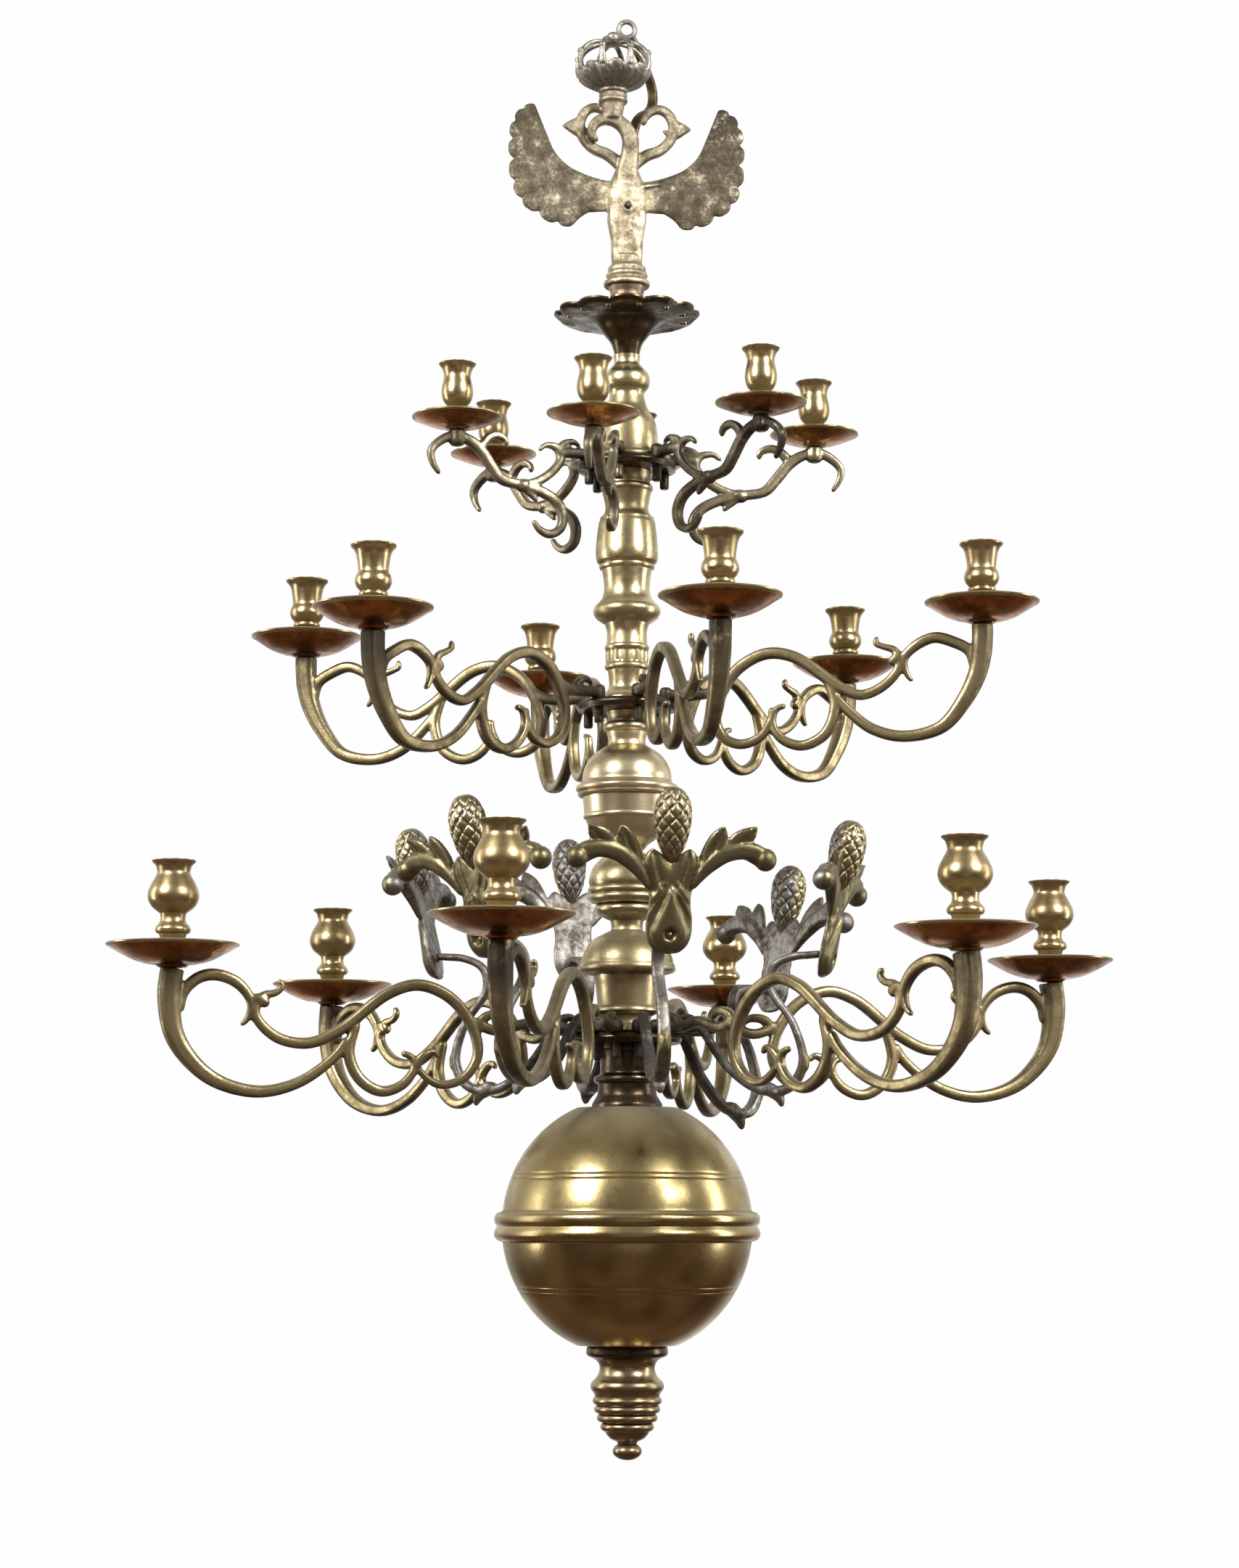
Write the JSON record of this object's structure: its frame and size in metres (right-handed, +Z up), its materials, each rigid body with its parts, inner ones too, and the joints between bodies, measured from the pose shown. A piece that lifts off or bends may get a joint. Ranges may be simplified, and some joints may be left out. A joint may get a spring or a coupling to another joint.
{
  "type": "candle chandelier",
  "caption": "Three-tier brass candle chandelier with scrolled arms pegged into round plates, drip pans, leaf ornaments, a large ball and a crowned eagle.",
  "frame": {"origin": "centre of the hanging eye at the top", "axes": "+Z up along the rod; -Y towards the front, where the eagle faces; +X to the right seen from the front"},
  "size_m": [0.8491, 0.8489, 1.2364],
  "materials": {
    "polished_brass": "polished, aged",
    "cup_brass": "polished, aged",
    "arm_brass": "satin, tarnished",
    "pale_brass": "satin",
    "leaf_brass": "satin, tarnished",
    "grey_patina_brass": "dull patina",
    "dark_bronze": "dark patina",
    "wrought_iron": "dark, forged"
  },
  "bodies": {
    "stem": {"ball_upper_half": "polished_brass", "ball_lower_half": "polished_brass", "finial": "polished_brass", "bell_urn": "polished_brass", "ringed_bulb": "polished_brass", "small_ball": "polished_brass", "main_baluster": "polished_brass", "upper_baluster": "polished_brass", "neck_drum": "dark_bronze", "top_dish": "dark_bronze", "lower_arm_plate": "dark_bronze", "middle_arm_plate": "dark_bronze", "top_arm_plate": "dark_bronze", "centre_rod": "wrought_iron", "hanger": "wrought_iron", "eagle_cross_pin": "wrought_iron", "eagle": "grey_patina_brass", "crown": "grey_patina_brass"},
    "lower_branch_1": {"lower_arm_1": "arm_brass", "lower_candle_cup_1": "cup_brass"},
    "lower_branch_2": {"lower_arm_2": "arm_brass", "lower_candle_cup_2": "cup_brass"},
    "lower_branch_3": {"lower_arm_3": "arm_brass", "lower_candle_cup_3": "cup_brass"},
    "lower_branch_4": {"lower_arm_4": "arm_brass", "lower_candle_cup_4": "cup_brass"},
    "lower_branch_5": {"lower_arm_5": "arm_brass", "lower_candle_cup_5": "cup_brass"},
    "lower_branch_6": {"lower_arm_6": "arm_brass", "lower_candle_cup_6": "cup_brass"},
    "middle_branch_1": {"middle_arm_1": "arm_brass", "middle_candle_cup_1": "cup_brass"},
    "middle_branch_2": {"middle_arm_2": "arm_brass", "middle_candle_cup_2": "cup_brass"},
    "middle_branch_3": {"middle_arm_3": "arm_brass", "middle_candle_cup_3": "cup_brass"},
    "middle_branch_4": {"middle_arm_4": "arm_brass", "middle_candle_cup_4": "cup_brass"},
    "middle_branch_5": {"middle_arm_5": "arm_brass", "middle_candle_cup_5": "cup_brass"},
    "middle_branch_6": {"middle_arm_6": "arm_brass", "middle_candle_cup_6": "cup_brass"},
    "top_branch_1": {"top_arm_1": "pale_brass", "top_candle_cup_1": "cup_brass"},
    "top_branch_2": {"top_arm_2": "pale_brass", "top_candle_cup_2": "cup_brass"},
    "top_branch_3": {"top_arm_3": "pale_brass", "top_candle_cup_3": "cup_brass"},
    "top_branch_4": {"top_arm_4": "pale_brass", "top_candle_cup_4": "cup_brass"},
    "top_branch_5": {"top_arm_5": "pale_brass", "top_candle_cup_5": "cup_brass"},
    "top_branch_6": {"top_arm_6": "pale_brass", "top_candle_cup_6": "cup_brass"},
    "ornament_1": {"leaf_ornament_1": "leaf_brass"},
    "ornament_2": {"leaf_ornament_2": "leaf_brass"},
    "ornament_3": {"leaf_ornament_3": "leaf_brass"},
    "ornament_4": {"leaf_ornament_4": "leaf_brass"},
    "ornament_5": {"leaf_ornament_5": "leaf_brass"},
    "ornament_6": {"leaf_ornament_6": "leaf_brass"}
  },
  "joints": [
    {"name": "lower_branch_1_swing", "type": "hinge", "parent": "stem", "child": "lower_branch_1", "pos_m": [-0.00851, -0.03292, -0.876], "axis": [0, 0, 1], "range_deg": [-12.6, 11.4]},
    {"name": "lower_branch_2_swing", "type": "hinge", "parent": "stem", "child": "lower_branch_2", "pos_m": [0.02425, -0.02383, -0.876], "axis": [0, 0, 1], "range_deg": [-8.6, 15.4]},
    {"name": "lower_branch_3_swing", "type": "hinge", "parent": "stem", "child": "lower_branch_3", "pos_m": [0.03276, 0.00909, -0.876], "axis": [0, 0, 1], "range_deg": [-11.2, 12.8]},
    {"name": "lower_branch_4_swing", "type": "hinge", "parent": "stem", "child": "lower_branch_4", "pos_m": [0.00851, 0.03292, -0.876], "axis": [0, 0, 1], "range_deg": [-12.4, 11.6]},
    {"name": "lower_branch_5_swing", "type": "hinge", "parent": "stem", "child": "lower_branch_5", "pos_m": [-0.02425, 0.02383, -0.876], "axis": [0, 0, 1], "range_deg": [-12, 12]},
    {"name": "lower_branch_6_swing", "type": "hinge", "parent": "stem", "child": "lower_branch_6", "pos_m": [-0.03276, -0.00909, -0.876], "axis": [0, 0, 1], "range_deg": [-9.4, 14.6]},
    {"name": "middle_branch_1_swing", "type": "hinge", "parent": "stem", "child": "middle_branch_1", "pos_m": [0.0092, -0.03273, -0.594], "axis": [0, 0, 1], "range_deg": [-12.5, 15.5]},
    {"name": "middle_branch_2_swing", "type": "hinge", "parent": "stem", "child": "middle_branch_2", "pos_m": [0.03295, -0.0084, -0.594], "axis": [0, 0, 1], "range_deg": [-19, 9]},
    {"name": "middle_branch_3_swing", "type": "hinge", "parent": "stem", "child": "middle_branch_3", "pos_m": [0.02375, 0.02433, -0.594], "axis": [0, 0, 1], "range_deg": [-14.6, 13.4]},
    {"name": "middle_branch_4_swing", "type": "hinge", "parent": "stem", "child": "middle_branch_4", "pos_m": [-0.0092, 0.03273, -0.594], "axis": [0, 0, 1], "range_deg": [-14.7, 13.3]},
    {"name": "middle_branch_5_swing", "type": "hinge", "parent": "stem", "child": "middle_branch_5", "pos_m": [-0.03295, 0.0084, -0.594], "axis": [0, 0, 1], "range_deg": [-14, 14]},
    {"name": "middle_branch_6_swing", "type": "hinge", "parent": "stem", "child": "middle_branch_6", "pos_m": [-0.02375, -0.02433, -0.594], "axis": [0, 0, 1], "range_deg": [-14.4, 13.6]},
    {"name": "top_branch_1_swing", "type": "hinge", "parent": "stem", "child": "top_branch_1", "pos_m": [-0.00672, -0.03333, -0.386], "axis": [0, 0, 1], "range_deg": [-21.4, 18.6]},
    {"name": "top_branch_2_swing", "type": "hinge", "parent": "stem", "child": "top_branch_2", "pos_m": [0.0255, -0.02249, -0.386], "axis": [0, 0, 1], "range_deg": [-17.4, 22.6]},
    {"name": "top_branch_3_swing", "type": "hinge", "parent": "stem", "child": "top_branch_3", "pos_m": [0.03222, 0.01085, -0.386], "axis": [0, 0, 1], "range_deg": [-5, 26]},
    {"name": "top_branch_4_swing", "type": "hinge", "parent": "stem", "child": "top_branch_4", "pos_m": [0.00672, 0.03333, -0.386], "axis": [0, 0, 1], "range_deg": [-26, 11]},
    {"name": "top_branch_5_swing", "type": "hinge", "parent": "stem", "child": "top_branch_5", "pos_m": [-0.0255, 0.02249, -0.386], "axis": [0, 0, 1], "range_deg": [-22.8, 17.2]},
    {"name": "top_branch_6_swing", "type": "hinge", "parent": "stem", "child": "top_branch_6", "pos_m": [-0.03222, -0.01085, -0.386], "axis": [0, 0, 1], "range_deg": [-22.6, 17.4]},
    {"name": "ornament_1_swing", "type": "hinge", "parent": "stem", "child": "ornament_1", "pos_m": [0.00937, -0.03268, -0.876], "axis": [0, 0, 1], "range_deg": [-2, 14]},
    {"name": "ornament_2_swing", "type": "hinge", "parent": "stem", "child": "ornament_2", "pos_m": [0.03299, -0.00822, -0.876], "axis": [0, 0, 1], "range_deg": [-8, 8]},
    {"name": "ornament_3_swing", "type": "hinge", "parent": "stem", "child": "ornament_3", "pos_m": [0.02362, 0.02446, -0.876], "axis": [0, 0, 1], "range_deg": [-2, 14]},
    {"name": "ornament_4_swing", "type": "hinge", "parent": "stem", "child": "ornament_4", "pos_m": [-0.00937, 0.03268, -0.876], "axis": [0, 0, 1], "range_deg": [-8, 8]},
    {"name": "ornament_5_swing", "type": "hinge", "parent": "stem", "child": "ornament_5", "pos_m": [-0.03299, 0.00822, -0.876], "axis": [0, 0, 1], "range_deg": [-8, 8]},
    {"name": "ornament_6_swing", "type": "hinge", "parent": "stem", "child": "ornament_6", "pos_m": [-0.02362, -0.02446, -0.876], "axis": [0, 0, 1], "range_deg": [-9.5, 2]}
  ]
}
